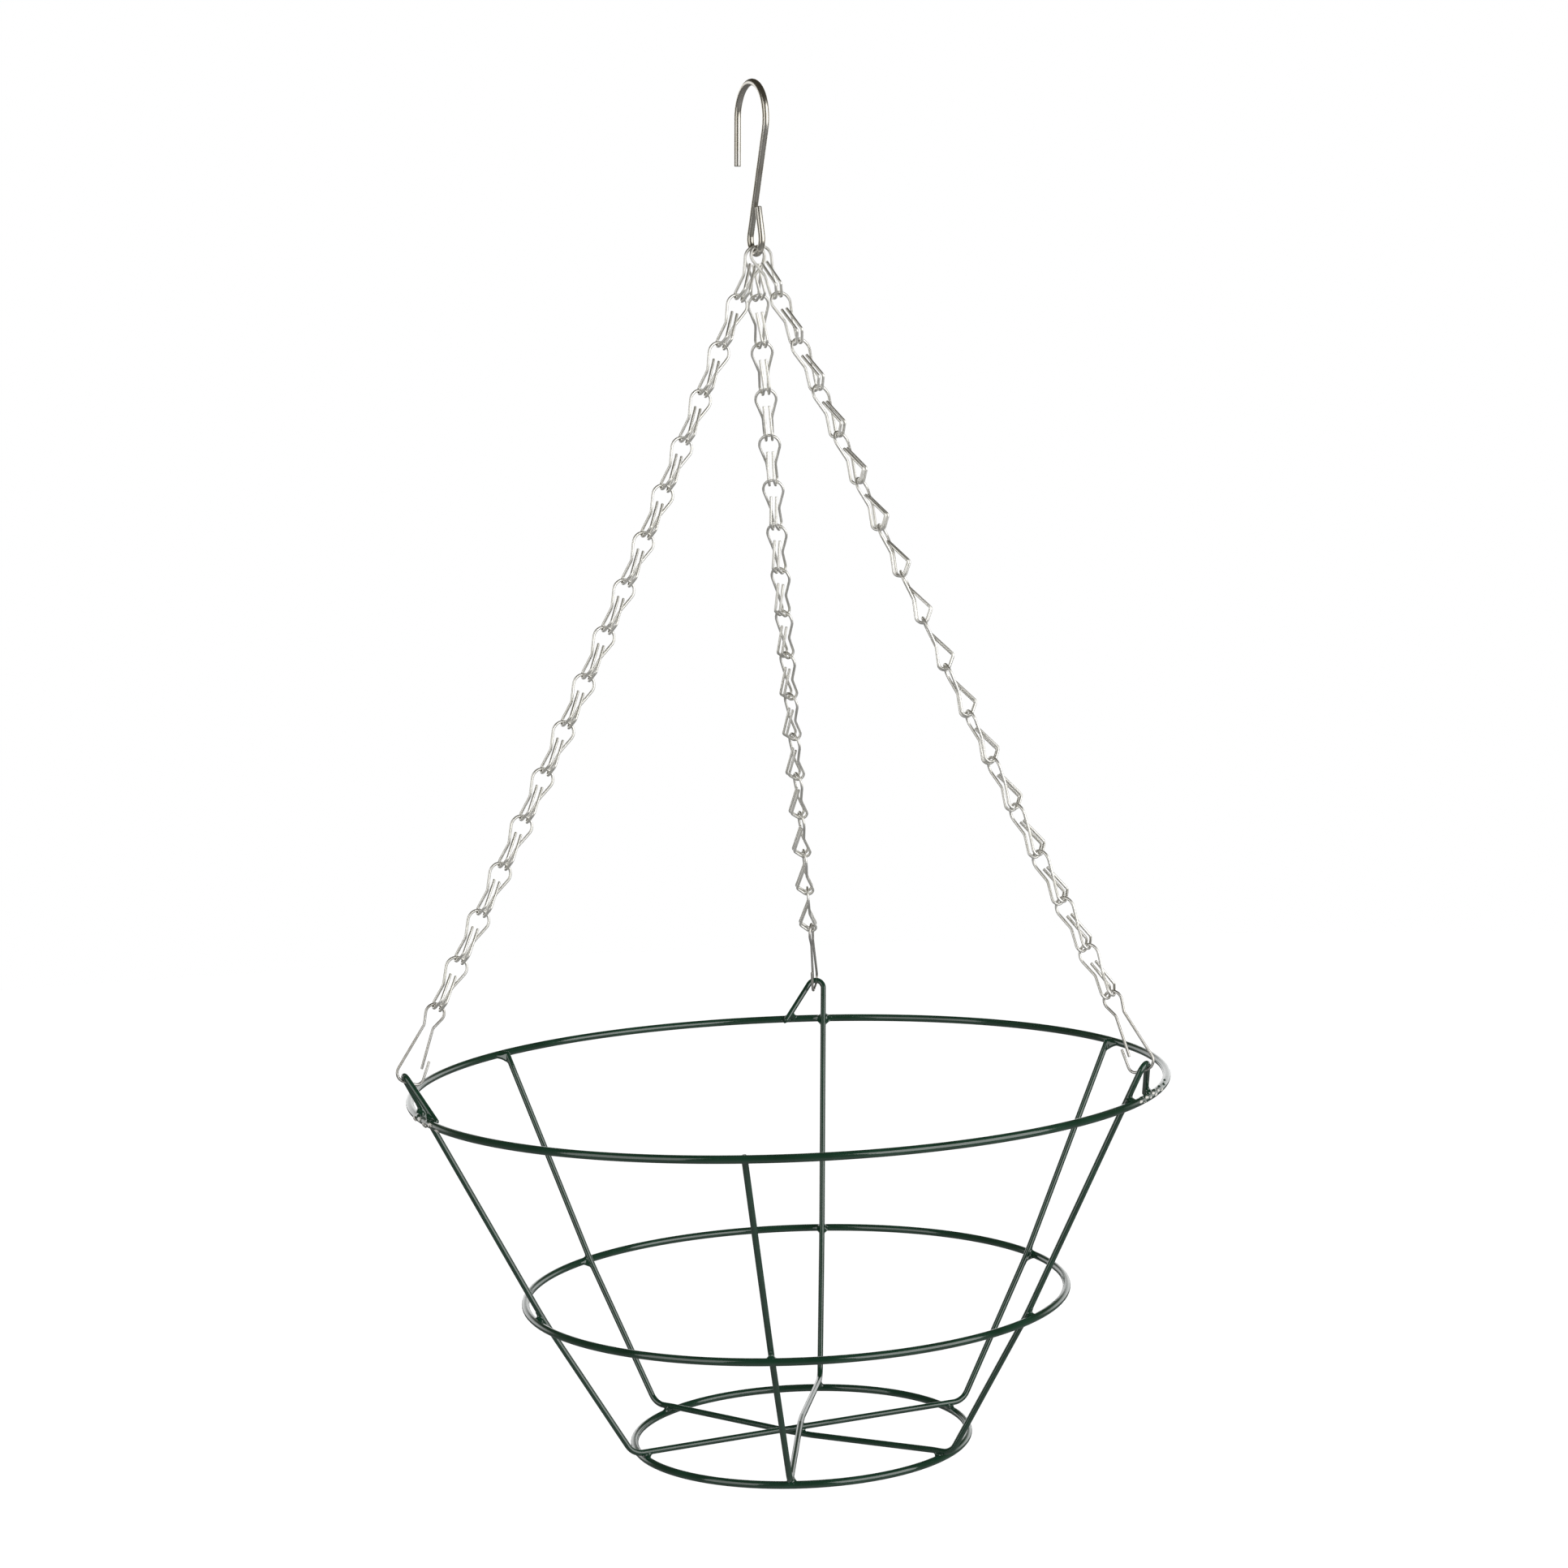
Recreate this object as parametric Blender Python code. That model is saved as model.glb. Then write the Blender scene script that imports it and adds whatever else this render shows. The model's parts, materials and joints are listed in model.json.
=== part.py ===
"""Hanging basket: a coated wire bowl on three strands of wire chain and one S-hook.

Metres, +Z up. The origin is the hook's seat, the inside top of its arch, from which
everything hangs. The hook lies in the XZ plane and the strands fan out below it.
"""

import math

import bpy
from mathutils import Matrix, Vector

MM = 0.001

# Clearance left wherever two wires touch
GAP = 0.3 * MM

# Wire sizes, over the coating where there is one
RIM_WIRE = 3.6 * MM
RING_WIRE = 3.5 * MM
FRAME_WIRE = 2.8 * MM
HOOK_WIRE = 3.2 * MM
CHAIN_WIRE = 1.3 * MM

# Bowl: three hoops, sized at the middle of their wire except for the rim
RIM_DIAMETER = 352.0 * MM
MIDDLE_RADIUS = 125.7 * MM
BASE_RADIUS = 78.0 * MM
RIM_TO_MIDDLE = 98.5 * MM
MIDDLE_TO_BASE = 68.9 * MM

# Ribs: their bend into the spokes, how far outside the base hoop it stands, and the plain end
RIB_BEND = 8.0 * MM
RIB_OVERHANG = 6.2 * MM
PLAIN_RIB_RISE = 1.2 * MM

# Where each frame wire's looped rib stands, at the base and at the rim, in degrees
BASE_AZIMUTH = {"front": 270.0, "right": 29.5, "left": 149.5}
RIM_AZIMUTH = {"front": 263.5, "right": 36.0, "left": 150.0}

# The same for its plain rib
PLAIN_BASE_AZIMUTH = {"front": 89.5, "right": 212.0, "left": 332.5}
PLAIN_RIM_AZIMUTH = {"front": 91.0, "right": 210.5, "left": 330.0}

# Order of the spokes where they cross, from the lowest to the highest
SPOKE_LEVEL = {"right": -1, "front": 0, "left": 1}
SPOKE_FLAT = 6.0 * MM

# Rim loops, measured in the plane of the loop from the middle of the rim
LOOP_HEIGHT = {"front": 21.0 * MM, "right": 19.5 * MM, "left": 21.0 * MM}
LOOP_RADIUS = 4.0 * MM
LOOP_FOOT = {"front": 19.0 * MM, "right": 26.0 * MM, "left": 19.0 * MM}
LOOP_END_PAST = 1.0 * MM

# Hook
HOOK_REACH = 73.0 * MM
HOOK_ARCH_RADIUS = 16.0 * MM
HOOK_FREE_LEG = 21.5 * MM
HOOK_EYE_RADIUS = 6.5 * MM
HOOK_RETURN = 13.0 * MM
HOOK_MOUTH = 0.8 * MM

# How far the hook's free leg stands out from upright, in degrees
HOOK_FLARE = 6.0

# Chain: how many links, and how far a strand hangs below a straight line
LINK_COUNT = 16
LINK_PITCH = 23.15 * MM
STRAND_SAG = 5.0 * MM

# One link, measured down from the middle of its eye's top wire
LINK_EYE_RADIUS = 4.8 * MM
LINK_NECK_WIDTH = 4.2 * MM
LINK_NECK_DEPTH = 14.0 * MM
LINK_HOOK_RADIUS = 2.6 * MM
LINK_TOE_OUT = 5.4 * MM
LINK_TOE_DEPTH = 20.8 * MM
LINK_TOE_BEND = 1.4 * MM
LINK_RETURN_WIDTH = 2.6 * MM
LINK_END_OUT = 0.3 * MM
LINK_END_DEPTH = 8.2 * MM

# Space between neighbouring eyes on the hook
EYE_SPACE = 0.5 * MM

# One clip, measured down from the middle of its eye's top wire
CLIP_REACH = 35.0 * MM
CLIP_EYE_RADIUS = 4.2 * MM
CLIP_NECK_WIDTH = 4.4 * MM
CLIP_NECK_DEPTH = 10.5 * MM
CLIP_BIGHT_RADIUS = 4.2 * MM
CLIP_HEEL_IN = 8.8 * MM
CLIP_HEEL_RISE = 1.4 * MM
CLIP_HEEL_BEND = 3.0 * MM
CLIP_RETURN_IN = 7.2 * MM
CLIP_RETURN_DEPTH = 24.5 * MM
CLIP_SHORT_LEG_IN = 5.6 * MM
CLIP_SHORT_LEG_DEPTH = 29.0 * MM

# How far each clip is turned out of the plane of its strand, in degrees
CLIP_TURN = {"front": 0.0, "right": 0.0, "left": -8.0}

# Finishes: colour, roughness and metallic value
GREEN_COAT = ("green_coat", (0.018, 0.052, 0.037), 0.22, 0.0)
BRIGHT_ZINC = ("bright_zinc", (0.62, 0.62, 0.60), 0.24, 1.0)

# Facets: how finely round shapes are divided
COARSE = 1
RIM_SIDES = 72
MIDDLE_SIDES = 60
BASE_SIDES = 48
LINK_EYE_RUNS = 6
CLIP_EYE_RUNS = 8
CURL_RUNS = 3

# Lengths that follow from the sizes above
RIM_RADIUS = RIM_DIAMETER / 2 - RIM_WIRE / 2
SPOKE_LIFT = RING_WIRE / 2 + FRAME_WIRE / 2 + GAP
SPOKE_STEP = FRAME_WIRE + GAP
HOOK_SEATING = HOOK_WIRE / 2 + CHAIN_WIRE / 2 + GAP
CLIP_SEATING = FRAME_WIRE / 2 + CHAIN_WIRE / 2 + GAP
HOOK_EYE_CENTRE = -HOOK_REACH - HOOK_WIRE / 2 + HOOK_EYE_RADIUS


def polar(radius, azimuth, height):
    """A point from its distance to the axis, its azimuth in degrees and its height."""
    turn = math.radians(azimuth)
    return Vector((radius * math.cos(turn), radius * math.sin(turn), height))


def arc(centre, radius, start, stop, steps):
    """Points along a circle in a plane, between two angles in degrees."""
    angles = [math.radians(start + (stop - start) * step / steps) for step in range(steps + 1)]
    return [(centre[0] + radius * math.cos(a), centre[1] + radius * math.sin(a)) for a in angles]


def touch_angle(point, centre, radius, side):
    """Angle on a circle, in degrees, where a line from an outside point touches it."""
    across = point[0] - centre[0]
    up = point[1] - centre[1]
    towards = math.degrees(math.atan2(up, across))
    return towards + side * math.degrees(math.acos(radius / math.hypot(across, up)))


def rounded_corner(before, corner, after, radius, steps):
    """Points of the arc that rounds a corner between two straight runs."""
    back = (before - corner).normalized()
    ahead = (after - corner).normalized()
    half = back.angle(ahead) / 2
    start = corner + back * (radius / math.tan(half))
    centre = corner + (back + ahead).normalized() * (radius / math.sin(half))
    outward = (start - centre).normalized()
    turns = [(math.pi - 2 * half) * step / steps for step in range(steps + 1)]
    return [centre + radius * (math.cos(t) * outward - math.sin(t) * back) for t in turns]


def finish(values):
    """One plain shader for a finish."""
    name, colour, roughness, metallic = values
    material = bpy.data.materials.new(name)
    material.use_nodes = True
    shader = material.node_tree.nodes["Principled BSDF"]
    shader.inputs["Base Color"].default_value = (*colour, 1.0)
    shader.inputs["Roughness"].default_value = roughness
    shader.inputs["Metallic"].default_value = metallic
    material.diffuse_color = (*colour, 1.0)
    return material


def wire(name, path, diameter, material, closed=False):
    """A round wire along a path, with closed ends."""
    curve = bpy.data.curves.new(name, "CURVE")
    curve.dimensions = "3D"
    curve.fill_mode = "FULL"
    curve.bevel_depth = diameter / 2
    curve.bevel_resolution = COARSE
    curve.use_fill_caps = True
    spline = curve.splines.new("POLY")
    spline.points.add(len(path) - 1)
    for point, place in zip(spline.points, path):
        point.co = (*place, 1.0)
    spline.use_cyclic_u = closed
    curve.materials.append(material)
    return curve


def place(name, curve, carrier=None, matrix=None):
    """A named piece, placed by its location and rotation under what carries it."""
    piece = bpy.data.objects.new(name, curve)
    bpy.context.scene.collection.objects.link(piece)
    if matrix is not None:
        piece.location = matrix.translation
        piece.rotation_euler = matrix.to_euler()
    if carrier is not None:
        piece.parent = carrier
        piece.location -= carrier.location
    return piece


def hook_path():
    """Free leg, arch, slanted stem, lower eye and its return leg, in the XZ plane."""
    arch_centre = (0.0, HOOK_WIRE / 2 - HOOK_ARCH_RADIUS)
    eye_centre = (0.0, HOOK_EYE_CENTRE)
    spread = arch_centre[1] - eye_centre[1]
    slant = math.degrees(math.asin((HOOK_ARCH_RADIUS + HOOK_EYE_RADIUS) / spread))

    # The return leg leans until its end stands one mouth away from the stem
    reach = math.hypot(HOOK_EYE_RADIUS, HOOK_RETURN)
    inside = HOOK_EYE_RADIUS - HOOK_WIRE - HOOK_MOUTH
    lean = math.atan2(HOOK_EYE_RADIUS, HOOK_RETURN) + math.asin(inside / reach)
    lean = math.degrees(lean) - slant

    arch = arc(arch_centre, HOOK_ARCH_RADIUS, 180.0 - HOOK_FLARE, -slant, 12)
    eye = arc(eye_centre, HOOK_EYE_RADIUS, 180.0 - slant, 360.0 + lean, 12)
    flare = math.radians(HOOK_FLARE)
    along = (-math.sin(flare), -math.cos(flare))
    free_end = (arch[0][0] + HOOK_FREE_LEG * along[0], arch[0][1] + HOOK_FREE_LEG * along[1])
    along = (-math.sin(math.radians(lean)), math.cos(math.radians(lean)))
    return_end = (eye[-1][0] + HOOK_RETURN * along[0], eye[-1][1] + HOOK_RETURN * along[1])
    outline = [free_end] + arch + eye + [return_end]
    return [Vector((x, 0.0, z)) for x, z in outline]


def eye_path(radius, neck_width, neck_depth, steps):
    """A piece's eye, from one side of its neck over the top to the other."""
    centre = (0.0, -radius)
    leave = touch_angle((neck_width / 2, -neck_depth), centre, radius, 1)
    return arc(centre, radius, 180.0 - leave, leave, steps)


def eye_drop(eye, across):
    """How far below its top an eye is where a hook crosses it."""
    top = len(eye) // 2
    (x, z), (next_x, next_z) = eye[top], eye[top + 1]
    return across * (z - next_z) / (next_x - x)


def link_eye():
    """The eye on top of a link."""
    return eye_path(LINK_EYE_RADIUS, LINK_NECK_WIDTH, LINK_NECK_DEPTH, LINK_EYE_RUNS)


def clip_eye():
    """The eye on top of a clip."""
    return eye_path(CLIP_EYE_RADIUS, CLIP_NECK_WIDTH, CLIP_NECK_DEPTH, CLIP_EYE_RUNS)


def link_path():
    """One link: X across, Y to the side its hooks bulge, Z up, from the eye's top."""
    eye = link_eye()
    neck = (LINK_NECK_WIDTH / 2, -LINK_NECK_DEPTH)

    # The hooks hold the next eye, a link's or the clip's, under the lower of the two
    drop = max(eye_drop(eye, neck[0]), eye_drop(clip_eye(), neck[0]))
    hook_depth = LINK_PITCH + drop + CHAIN_WIRE + GAP
    hook_centre = (0.0, LINK_HOOK_RADIUS - hook_depth)
    toe = (LINK_TOE_OUT, -LINK_TOE_DEPTH)
    enter = touch_angle((0.0, neck[1]), hook_centre, LINK_HOOK_RADIUS, 1)
    depart = 360.0 + touch_angle(toe, hook_centre, LINK_HOOK_RADIUS, -1)

    # Straight runs stay outside the curl, so that the eye has room to turn in it
    run = math.radians((depart - enter) / CURL_RUNS)
    curl = arc(hook_centre, LINK_HOOK_RADIUS / math.cos(run / 2), enter, depart, CURL_RUNS)

    # Across, the leg closes in from the neck's width to that of the return legs
    closing = (LINK_NECK_WIDTH - LINK_RETURN_WIDTH) / 2
    leg = [Vector((neck[0], 0.0, neck[1]))]
    for step, (y, z) in enumerate(curl):
        leg.append(Vector((neck[0] - closing * step / (len(curl) - 1), y, z)))
    corner = Vector((LINK_RETURN_WIDTH / 2, *toe))
    end = Vector((LINK_RETURN_WIDTH / 2, LINK_END_OUT, -LINK_END_DEPTH))
    leg += rounded_corner(leg[-1], corner, end, LINK_TOE_BEND, 1)
    leg.append(end)

    other_leg = [Vector((-point.x, point.y, point.z)) for point in reversed(leg)]
    return other_leg + [Vector((x, 0.0, z)) for x, z in eye] + leg


def clip_path():
    """One clip: X outward, Z up, from the eye's top; it lies flat in the XZ plane."""
    eye = clip_eye()
    neck = (CLIP_NECK_WIDTH / 2, -CLIP_NECK_DEPTH)

    # The bight cradles the rim loop, and the heel turns the wire back up
    floor = -CLIP_REACH - CLIP_SEATING
    bight_centre = (0.0, floor + CLIP_BIGHT_RADIUS)
    heel = (-CLIP_HEEL_IN, floor + CLIP_HEEL_RISE)
    enter = touch_angle(neck, bight_centre, CLIP_BIGHT_RADIUS, -1)
    depart = touch_angle(heel, bight_centre, CLIP_BIGHT_RADIUS, 1)
    depart = enter - (enter - depart) % 360.0
    bight = arc(bight_centre, CLIP_BIGHT_RADIUS, enter, depart, 6)

    short_leg = [(-CLIP_SHORT_LEG_IN, -CLIP_SHORT_LEG_DEPTH), (-neck[0], neck[1])]
    outline = [Vector((x, 0.0, z)) for x, z in short_leg + eye + [neck] + bight]
    corner = Vector((heel[0], 0.0, heel[1]))
    end = Vector((-CLIP_RETURN_IN, 0.0, -CLIP_RETURN_DEPTH))
    outline += rounded_corner(outline[-1], corner, end, CLIP_HEEL_BEND, 3)
    return outline + [end]


def ring_path(radius, height, sides):
    """A level hoop."""
    return [polar(radius, 360.0 * side / sides, height) for side in range(sides)]


def rib_profile():
    """Radius of the ribs at the rim, at the middle hoop and where they would meet the spokes."""
    at_spokes = BASE_RADIUS + RIB_OVERHANG
    upper_lean = math.atan2(RIM_RADIUS - MIDDLE_RADIUS, RIM_TO_MIDDLE)
    lower_lean = math.atan2(MIDDLE_RADIUS - at_spokes, MIDDLE_TO_BASE - SPOKE_LIFT)
    at_rim = RIM_RADIUS - (RIM_WIRE / 2 + FRAME_WIRE / 2 + GAP) / math.cos(upper_lean)
    inside_ring = RING_WIRE / 2 + FRAME_WIRE / 2 + GAP
    at_middle = MIDDLE_RADIUS - inside_ring / math.cos(max(upper_lean, lower_lean))
    return at_rim, at_middle, at_spokes


def rib(rim_azimuth, base_azimuth, rim_height):
    """Where a rib passes the rim, passes the middle hoop and would meet its spoke."""
    at_rim, at_middle, at_spokes = rib_profile()
    spoke_height = rim_height - RIM_TO_MIDDLE - MIDDLE_TO_BASE + SPOKE_LIFT
    crossing = polar(at_rim, rim_azimuth, rim_height)
    corner = polar(at_spokes, base_azimuth, spoke_height)

    # A rib that leans along the rim does so evenly, seen from above
    passing = crossing.lerp(corner, RIM_TO_MIDDLE / (rim_height - spoke_height))
    knee = polar(at_middle, math.degrees(math.atan2(passing.y, passing.x)), passing.z)
    return crossing, knee, corner


def frame_wire_path(side, rim_height):
    """Rim loop, rib, spoke across the base and plain rib of one frame wire."""
    azimuth = BASE_AZIMUTH[side]
    far_azimuth = PLAIN_BASE_AZIMUTH[side]
    crossing, knee, corner = rib(RIM_AZIMUTH[side], azimuth, rim_height)
    far_crossing, far_knee, far_corner = rib(PLAIN_RIM_AZIMUTH[side], far_azimuth, rim_height)
    spoke_end = polar(BASE_RADIUS - RING_WIRE, azimuth, corner.z)
    summit = polar(SPOKE_FLAT, azimuth, corner.z + SPOKE_LEVEL[side] * SPOKE_STEP)
    far_summit = polar(SPOKE_FLAT, far_azimuth, summit.z)
    far_spoke_end = polar(BASE_RADIUS - RING_WIRE, far_azimuth, corner.z)
    rise = (far_crossing - far_knee).normalized()

    path = loop_path(crossing, knee, side) + [knee]
    path += rounded_corner(knee, corner, spoke_end, RIB_BEND, 4)
    path += [spoke_end, summit, far_summit, far_spoke_end]
    path += rounded_corner(far_spoke_end, far_corner, far_knee, RIB_BEND, 4)
    path += [far_knee, far_crossing + rise * (PLAIN_RIB_RISE / rise.z)]
    return path


def loop_axes(crossing, knee, side):
    """Directions along the rim to the loop's foot, and up along the rib."""
    at_rim = math.hypot(crossing.x, crossing.y)
    foot_turn = math.degrees(2 * math.asin(LOOP_FOOT[side] / (2 * at_rim)))
    foot = polar(at_rim, RIM_AZIMUTH[side] + foot_turn, crossing.z)
    return (foot - crossing).normalized(), (crossing - knee).normalized()


def loop_path(crossing, knee, side):
    """The rim loop, from its foot on the rim over its top to the rib."""
    along, up = loop_axes(crossing, knee, side)
    centre = (LOOP_RADIUS, LOOP_HEIGHT[side] - LOOP_RADIUS)
    foot = (LOOP_FOOT[side], 0.0)
    touch = touch_angle(foot, centre, LOOP_RADIUS, 1)
    bend = arc(centre, LOOP_RADIUS, touch, 180.0, 6)
    slope = Vector((foot[0] - bend[0][0], foot[1] - bend[0][1])).normalized() * LOOP_END_PAST
    outline = [(foot[0] + slope[0], foot[1] + slope[1])] + bend
    return [crossing + along * t + up * s for t, s in outline]


def loop_top(side, rim_height):
    """Middle of the wire at the top of a rim loop, where the clip hangs on."""
    crossing, knee, _ = rib(RIM_AZIMUTH[side], BASE_AZIMUTH[side], rim_height)
    along, up = loop_axes(crossing, knee, side)
    return crossing + along * LOOP_RADIUS + up * LOOP_HEIGHT[side]


def hook_seats():
    """Middle of the hook's wire under each strand's first eye, side by side."""
    pitch = (CHAIN_WIRE + EYE_SPACE) / (HOOK_EYE_RADIUS - HOOK_SEATING)
    turns = {"left": -pitch, "front": 0.0, "right": pitch}
    seats = {}
    for side, turn in turns.items():
        x = HOOK_EYE_RADIUS * math.sin(turn)
        seats[side] = Vector((x, 0.0, HOOK_EYE_CENTRE - HOOK_EYE_RADIUS * math.cos(turn)))
    return seats


def rim_level(seats):
    """Height of the rim that the front strand's own length gives."""
    top = loop_top("front", 0.0)
    length = LINK_COUNT * LINK_PITCH - HOOK_SEATING + CLIP_REACH
    span = length - 8.0 * STRAND_SAG ** 2 / (3.0 * length)
    seat = seats["front"]
    out = math.hypot(top.x - seat.x, top.y - seat.y)
    return seat.z - math.sqrt(span ** 2 - out ** 2) - top.z


def strand_joints(seat, top):
    """Points where a strand's links meet, from its first eye to the rim loop."""
    line = top - seat
    inward = Vector((line.x, line.y, 0.0)).normalized() * -1.0
    inward = (inward - line.normalized() * inward.dot(line.normalized())).normalized()
    length = line.length + 8.0 * STRAND_SAG ** 2 / (3.0 * line.length)
    pitch = (length + HOOK_SEATING - CLIP_REACH) / LINK_COUNT
    joints = []
    for joint in range(LINK_COUNT + 1):
        share = (joint * pitch - HOOK_SEATING) / length
        joints.append(seat + line * share + inward * (4.0 * STRAND_SAG * share * (1.0 - share)))
    return joints + [top]


def hang(top, bottom, facing):
    """Placing of a piece that hangs from one joint to the next, turned to an azimuth."""
    up = (top - bottom).normalized()
    bulge = polar(1.0, facing, 0.0)
    bulge = (bulge - up * bulge.dot(up)).normalized()
    across = bulge.cross(up)
    turn = Matrix((across, bulge, up)).transposed().to_4x4()
    return Matrix.Translation(top) @ turn


def build():
    """All pieces, at rest."""
    green = finish(GREEN_COAT)
    zinc = finish(BRIGHT_ZINC)
    seats = hook_seats()
    rim_height = rim_level(seats)
    middle_height = rim_height - RIM_TO_MIDDLE
    base_height = middle_height - MIDDLE_TO_BASE

    # Everything below the hook swings about the middle of the hook's lower eye
    swing = bpy.data.objects.new("swing_axis", None)
    bpy.context.scene.collection.objects.link(swing)
    swing.location = (0.0, 0.0, HOOK_EYE_CENTRE)

    place("hanging_hook", wire("hanging_hook", hook_path(), HOOK_WIRE, zinc))
    hoops = (
        ("rim_ring", RIM_RADIUS, rim_height, RIM_SIDES, RIM_WIRE),
        ("middle_ring", MIDDLE_RADIUS, middle_height, MIDDLE_SIDES, RING_WIRE),
        ("base_ring", BASE_RADIUS, base_height, BASE_SIDES, RING_WIRE),
    )
    for name, radius, height, sides, thickness in hoops:
        path = ring_path(radius, height, sides)
        place(name, wire(name, path, thickness, green, closed=True), swing, Matrix())

    link = wire("chain_link", link_path(), CHAIN_WIRE, zinc)
    clip = wire("clip", clip_path(), CHAIN_WIRE, zinc)
    for side, seat in seats.items():
        name = side + "_frame_wire"
        frame = wire(name, frame_wire_path(side, rim_height), FRAME_WIRE, green)
        place(name, frame, swing, Matrix())

        # The links turn from the hook's plane to the rim's tangent on the way down
        top = loop_top(side, rim_height)
        joints = strand_joints(seat, top)
        tangent = math.degrees(math.atan2(top.y, top.x)) + 90.0
        tangent = (tangent + 180.0) % 360.0 - 180.0
        for index in range(LINK_COUNT):
            facing = tangent * index / LINK_COUNT
            name = "{}_link_{:02d}".format(side, index + 1)
            place(name, link, swing, hang(joints[index], joints[index + 1], facing))
        place(side + "_clip", clip, swing, hang(joints[LINK_COUNT], top, tangent + CLIP_TURN[side]))


for item in list(bpy.data.objects):
    bpy.data.objects.remove(item, do_unlink=True)
build()
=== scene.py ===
"""The hanging basket dressed: coated wire bowl with its weld webs, wire chain, clips and hook."""

import json
import math

import bpy
from mathutils import Matrix, Vector


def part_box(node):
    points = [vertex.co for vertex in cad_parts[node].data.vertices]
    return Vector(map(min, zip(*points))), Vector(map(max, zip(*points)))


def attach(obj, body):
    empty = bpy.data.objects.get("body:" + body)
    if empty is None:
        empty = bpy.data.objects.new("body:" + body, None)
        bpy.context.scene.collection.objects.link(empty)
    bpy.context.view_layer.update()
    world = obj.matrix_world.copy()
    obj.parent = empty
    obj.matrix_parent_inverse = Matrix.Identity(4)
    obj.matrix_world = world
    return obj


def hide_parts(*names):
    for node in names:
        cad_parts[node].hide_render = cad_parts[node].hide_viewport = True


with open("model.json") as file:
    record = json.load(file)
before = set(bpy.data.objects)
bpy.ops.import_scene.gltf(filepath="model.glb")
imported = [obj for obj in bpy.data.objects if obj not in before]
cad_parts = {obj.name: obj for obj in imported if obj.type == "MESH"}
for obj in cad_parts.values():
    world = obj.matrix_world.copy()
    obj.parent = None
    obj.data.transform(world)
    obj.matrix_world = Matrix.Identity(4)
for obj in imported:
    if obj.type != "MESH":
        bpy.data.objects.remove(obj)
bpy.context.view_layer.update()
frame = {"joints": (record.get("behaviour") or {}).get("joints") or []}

MM = 0.001
SIDES = ("front", "right", "left")

# Wire thickness, over the coat where there is one, and the gap left where two wires touch
RIM_WIRE = 3.6 * MM
RING_WIRE = 3.5 * MM
FRAME_WIRE = 2.8 * MM
HOOK_WIRE = 3.2 * MM
CHAIN_WIRE = 1.3 * MM
TOUCH_GAP = 0.3 * MM

# Frame wires: where the looped and the plain ribs stand, in degrees, and how they bend
BASE_AZIMUTH = {"front": 270.0, "right": 29.5, "left": 149.5}
RIM_AZIMUTH = {"front": 263.5, "right": 36.0, "left": 150.0}
PLAIN_BASE_AZIMUTH = {"front": 89.5, "right": 212.0, "left": 332.5}
PLAIN_RIM_AZIMUTH = {"front": 91.0, "right": 210.5, "left": 330.0}
SPOKE_LEVEL = {"right": -1, "front": 0, "left": 1}
SPOKE_FLAT = 6.0 * MM
SPOKE_BEND = 30.0 * MM
RIB_BEND = 8.0 * MM
RIB_OVERHANG = 6.2 * MM
RIB_KNEE_BEND = 200.0 * MM
PLAIN_RIB_RISE = 1.2 * MM

# Rim loops, in the plane of the loop from the middle of the rib at the rim
LOOP_HEIGHT = {"front": 21.0 * MM, "right": 19.5 * MM, "left": 21.0 * MM}
LOOP_RADIUS = 4.0 * MM
LOOP_FOOT = {"front": 19.0 * MM, "right": 26.0 * MM, "left": 19.0 * MM}
LOOP_END_PAST = 1.0 * MM

# Hook
HOOK_REACH = 73.0 * MM
HOOK_ARCH_RADIUS = 16.0 * MM
HOOK_FREE_LEG = 21.5 * MM
HOOK_FLARE = 6.0
HOOK_EYE_RADIUS = 6.5 * MM
HOOK_RETURN = 13.0 * MM
HOOK_MOUTH = 0.8 * MM

# One link, measured down from the middle of its eye's top wire
LINK_COUNT = 16
LINK_PITCH = 23.15 * MM
LINK_EYE_RADIUS = 4.8 * MM
LINK_NECK_WIDTH = 4.2 * MM
LINK_NECK_DEPTH = 14.0 * MM
LINK_NECK_BEND = 4.0 * MM
LINK_HOOK_RADIUS = 2.6 * MM
LINK_TOE_OUT = 5.4 * MM
LINK_TOE_DEPTH = 20.8 * MM
LINK_TOE_BEND = 1.4 * MM
LINK_RETURN_WIDTH = 2.6 * MM
LINK_END_OUT = 0.3 * MM
LINK_END_DEPTH = 8.2 * MM

# The link's curl: how far in its corners are, and its bend as a share of the hook's radius
LINK_CLOSING = (0.15, 0.5, 0.85)
LINK_CURL_BEND = 0.97

# One clip, measured down from the middle of its eye's top wire
CLIP_REACH = 35.0 * MM
CLIP_EYE_RADIUS = 4.2 * MM
CLIP_NECK_WIDTH = 4.4 * MM
CLIP_NECK_DEPTH = 10.5 * MM
CLIP_NECK_BEND = 3.0 * MM
CLIP_BIGHT_RADIUS = 4.2 * MM
CLIP_HEEL_IN = 8.8 * MM
CLIP_HEEL_RISE = 1.4 * MM
CLIP_HEEL_BEND = 3.0 * MM
CLIP_RETURN_IN = 7.2 * MM
CLIP_RETURN_DEPTH = 24.5 * MM
CLIP_SHORT_LEG_IN = 5.6 * MM
CLIP_SHORT_LEG_DEPTH = 29.0 * MM
CLIP_TURN = {"front": 0.0, "right": 0.0, "left": -8.0}

# The clip's eye sits a hair higher, so that the hooks round it clear it at full twist
CLIP_EYE_LIFT = 0.22 * MM

# How finely wires are divided: sides around, turn per step in a bend, longest straight step
COAT_SIDES = 18
HOOK_SIDES = 24
CHAIN_SIDES = 12
BEND_STEP = math.radians(9.0)
LEAST_BEND_STEPS = 2
LONGEST_FEED = 14.0 * MM

# Corners that make up one round turn: an eye or the hook's arch, and a shorter bend
WIDE_TURN_CORNERS = 3
SHORT_TURN_CORNERS = 2

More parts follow.
